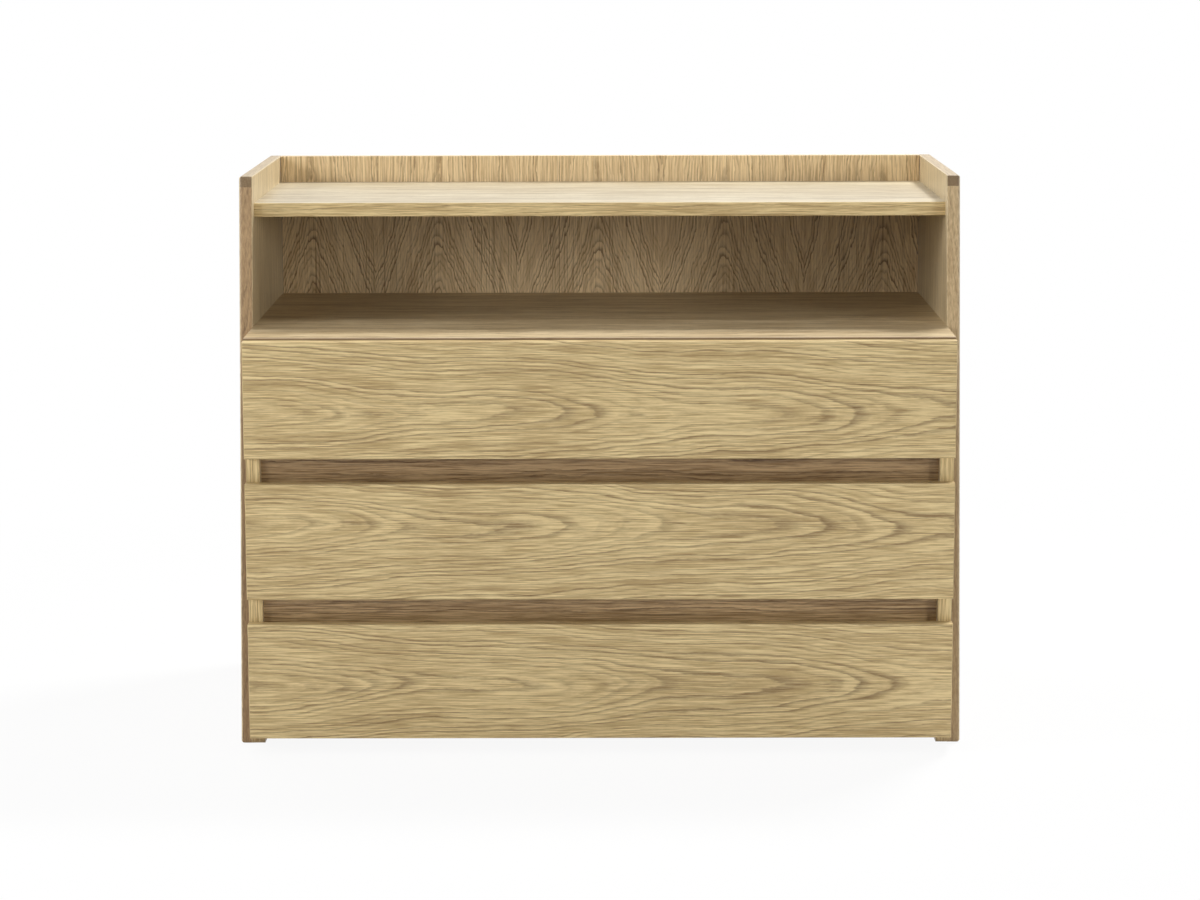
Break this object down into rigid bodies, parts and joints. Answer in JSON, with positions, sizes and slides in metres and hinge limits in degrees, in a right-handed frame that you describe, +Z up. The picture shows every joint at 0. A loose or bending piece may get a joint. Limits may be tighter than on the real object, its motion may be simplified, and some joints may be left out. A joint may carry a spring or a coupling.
{
  "type": "dresser",
  "caption": "Oak dresser with wide handle-less drawers under an open niche and a galleried shelf, between side panels whose front edges lean forward towards the foot.",
  "frame": {"origin": "middle of the footprint, on the floor", "axes": "+X along the width to the viewer's right, +Y from the drawer faces to the back, +Z up"},
  "size_m": [1, 0.565, 0.78],
  "materials": {
    "oak_veneer": "clear matt lacquer on oak veneer",
    "oak_solid": "clear matt lacquer on solid oak",
    "birch": "clear lacquer on birch plywood",
    "beech_dowel": "bare turned beech",
    "runner_steel": "zinc-plated rolled sheet",
    "screw_steel": "zinc-plated",
    "clear_pad": "frosted soft pad"
  },
  "bodies": {
    "cabinet": {"back_panel": "oak_veneer", "back_panel_screws": "screw_steel", "bottom_dowels": "beech_dowel", "bottom_panel": "oak_veneer", "cabinet_runner_screws": "screw_steel", "cabinet_side_left": "oak_veneer", "cabinet_side_lipping_left": "oak_solid", "cabinet_side_lipping_right": "oak_solid", "cabinet_side_right": "oak_veneer", "deck_dowels": "beech_dowel", "deck_lipping": "oak_solid", "deck_panel": "oak_veneer", "finger_rail_lower": "oak_veneer", "finger_rail_upper": "oak_veneer", "front_bumpers": "clear_pad", "rail_dowels": "beech_dowel", "runners_bottom_cabinet_members": "runner_steel", "runners_middle_cabinet_members": "runner_steel", "runners_top_cabinet_members": "runner_steel", "shelf_dowels": "beech_dowel", "side_front_lipping_left": "oak_solid", "side_front_lipping_right": "oak_solid", "side_joining_screws": "screw_steel", "side_panel_left": "oak_veneer", "side_panel_right": "oak_veneer", "side_top_lipping_left": "oak_solid", "side_top_lipping_right": "oak_solid", "top_shelf": "oak_veneer", "top_shelf_lipping": "oak_solid"},
    "drawer_top": {"drawer_top_bottom": "birch", "drawer_top_box_back": "birch", "drawer_top_box_front": "birch", "drawer_top_box_side_left": "birch", "drawer_top_box_side_right": "birch", "drawer_top_front": "oak_veneer", "drawer_top_front_screws": "screw_steel", "drawer_top_runner_screws": "screw_steel", "runners_top_drawer_members": "runner_steel"},
    "runners_top": {"runners_top_middle_members": "runner_steel"},
    "drawer_middle": {"drawer_middle_bottom": "birch", "drawer_middle_box_back": "birch", "drawer_middle_box_front": "birch", "drawer_middle_box_side_left": "birch", "drawer_middle_box_side_right": "birch", "drawer_middle_front": "oak_veneer", "drawer_middle_front_screws": "screw_steel", "drawer_middle_runner_screws": "screw_steel", "runners_middle_drawer_members": "runner_steel"},
    "runners_middle": {"runners_middle_middle_members": "runner_steel"},
    "drawer_bottom": {"drawer_bottom_bottom": "birch", "drawer_bottom_box_back": "birch", "drawer_bottom_box_front": "birch", "drawer_bottom_box_side_left": "birch", "drawer_bottom_box_side_right": "birch", "drawer_bottom_front": "oak_veneer", "drawer_bottom_front_screws": "screw_steel", "drawer_bottom_runner_screws": "screw_steel", "runners_bottom_drawer_members": "runner_steel"},
    "runners_bottom": {"runners_bottom_middle_members": "runner_steel"}
  },
  "joints": [
    {"name": "drawer_top_slide", "type": "slide", "parent": "cabinet", "child": "drawer_top", "axis": [0, -1, 0], "range_m": [0, 0.4]},
    {"name": "runners_top_slide", "type": "slide", "parent": "cabinet", "child": "runners_top", "axis": [0, -1, 0], "range_m": [0, 0.2]},
    {"name": "drawer_middle_slide", "type": "slide", "parent": "cabinet", "child": "drawer_middle", "axis": [0, -1, 0], "range_m": [0, 0.4]},
    {"name": "runners_middle_slide", "type": "slide", "parent": "cabinet", "child": "runners_middle", "axis": [0, -1, 0], "range_m": [0, 0.2]},
    {"name": "drawer_bottom_slide", "type": "slide", "parent": "cabinet", "child": "drawer_bottom", "axis": [0, -1, 0], "range_m": [0, 0.4]},
    {"name": "runners_bottom_slide", "type": "slide", "parent": "cabinet", "child": "runners_bottom", "axis": [0, -1, 0], "range_m": [0, 0.2]}
  ],
  "couplings": [
    {"joint": "runners_top_slide", "follows": "drawer_top_slide", "ratio": 0.5},
    {"joint": "runners_middle_slide", "follows": "drawer_middle_slide", "ratio": 0.5},
    {"joint": "runners_bottom_slide", "follows": "drawer_bottom_slide", "ratio": 0.5}
  ]
}
